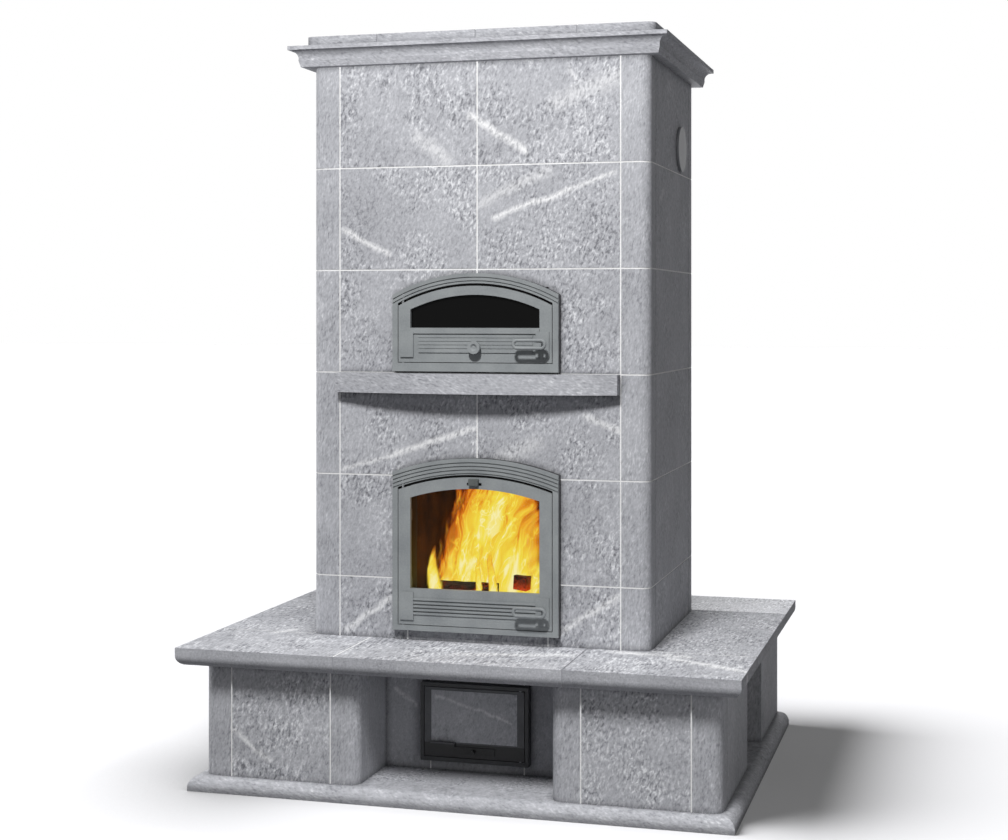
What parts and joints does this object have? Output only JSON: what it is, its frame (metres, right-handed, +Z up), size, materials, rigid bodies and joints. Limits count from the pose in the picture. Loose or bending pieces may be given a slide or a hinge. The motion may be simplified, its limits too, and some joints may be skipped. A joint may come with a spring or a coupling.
{
  "type": "masonry heater",
  "caption": "Soapstone masonry heater with a surrounding bench, arched fire door, bake oven, ash door, wood niches and a moulded cornice.",
  "frame": {"origin": "on the floor under the middle of the footprint", "axes": "+X to the right seen from the front, +Y to the back, +Z up"},
  "size_m": [1.556, 1.255, 2.108],
  "materials": {
    "soapstone": "honed soapstone slab",
    "core_stone": "sawn core stone",
    "mortar": "white joint mortar",
    "grey_iron": "satin grey stove paint",
    "black_iron": "matt black stove paint",
    "sheet_steel": "mill finish",
    "cover_paint": "satin grey paint",
    "door_glass": "clear glass ceramic",
    "dark_glass": "dark glass ceramic",
    "seal_rope": "braided glass-fibre rope"
  },
  "bodies": {
    "heater": {"ash_box": "sheet_steel", "ash_frame": "black_iron", "back_corner_stones": "soapstone", "back_panels": "soapstone", "back_slabs": "soapstone", "base_core": "core_stone", "bench_back": "soapstone", "bench_front_left": "soapstone", "bench_front_middle": "soapstone", "bench_front_right": "soapstone", "bench_sides": "soapstone", "cap_slabs": "soapstone", "core_walls": "core_stone", "corner_posts": "soapstone", "cornice_front": "soapstone", "cornice_returns": "soapstone", "fire_frame": "grey_iron", "fire_front_slabs": "soapstone", "fire_grate": "black_iron", "firebox_floor": "core_stone", "flue_collar": "sheet_steel", "front_corner_stones": "soapstone", "front_panels": "soapstone", "hinge_pins": "sheet_steel", "inner_posts": "soapstone", "joint_mortar": "mortar", "left_side_slabs": "soapstone", "mantel_shelf": "soapstone", "middle_front_slabs": "soapstone", "niche_back": "soapstone", "niche_sides": "soapstone", "oven_floor": "core_stone", "oven_frame": "grey_iron", "oven_roof": "core_stone", "plinth_floor": "soapstone", "plinth_front": "soapstone", "plinth_sides": "soapstone", "right_side_slabs": "soapstone", "side_walls": "soapstone", "top_cover": "soapstone", "tower_base": "soapstone", "upper_front_slabs": "soapstone", "wood_niche_walls": "soapstone"},
    "fire_door": {"fire_leaf": "grey_iron", "fire_glass": "door_glass", "fire_seal": "seal_rope", "fire_clips": "sheet_steel"},
    "fire_handle": {"fire_handle": "grey_iron"},
    "fire_tab": {"fire_tab": "grey_iron"},
    "oven_door": {"oven_leaf": "grey_iron", "oven_glass": "dark_glass", "oven_seal": "seal_rope", "oven_clips": "sheet_steel"},
    "oven_handle": {"oven_handle": "grey_iron"},
    "oven_slide": {"oven_slide": "grey_iron"},
    "ash_door": {"ash_leaf": "black_iron", "ash_inlay": "soapstone"},
    "ash_vent": {"ash_vent": "black_iron"},
    "cleaning_cover": {"cleaning_cover": "cover_paint"}
  },
  "joints": [
    {"name": "fire_door_swing", "type": "hinge", "parent": "heater", "child": "fire_door", "pos_m": [-0.21, -0.3545, 0.64], "axis": [0, 0, -1], "range_deg": [0, 100]},
    {"name": "fire_handle_lift", "type": "hinge", "parent": "fire_door", "child": "fire_handle", "pos_m": [0.194, -0.3655, 0.503], "axis": [0, 1, 0], "range_deg": [0, 45]},
    {"name": "fire_tab_slide", "type": "slide", "parent": "fire_door", "child": "fire_tab", "axis": [1, 0, 0], "range_m": [-0.015, 0.015]},
    {"name": "oven_door_swing", "type": "hinge", "parent": "heater", "child": "oven_door", "pos_m": [-0.21, -0.3545, 1.29], "axis": [0, 0, -1], "range_deg": [0, 90]},
    {"name": "oven_handle_lift", "type": "hinge", "parent": "oven_door", "child": "oven_handle", "pos_m": [0.194, -0.3655, 1.234], "axis": [0, 1, 0], "range_deg": [0, 45]},
    {"name": "oven_air_slide", "type": "slide", "parent": "oven_door", "child": "oven_slide", "axis": [-1, 0, 0], "range_m": [0, 0.014]},
    {"name": "ash_door_swing", "type": "hinge", "parent": "heater", "child": "ash_door", "pos_m": [0.132, -0.3565, 0.18], "axis": [0, 0, 1], "range_deg": [0, 100]},
    {"name": "ash_vent_slide", "type": "slide", "parent": "ash_door", "child": "ash_vent", "axis": [1, 0, 0], "range_m": [0, 0.02]},
    {"name": "cleaning_cover_pull", "type": "slide", "parent": "heater", "child": "cleaning_cover", "axis": [1, 0, 0], "range_m": [0, 0.06]}
  ]
}
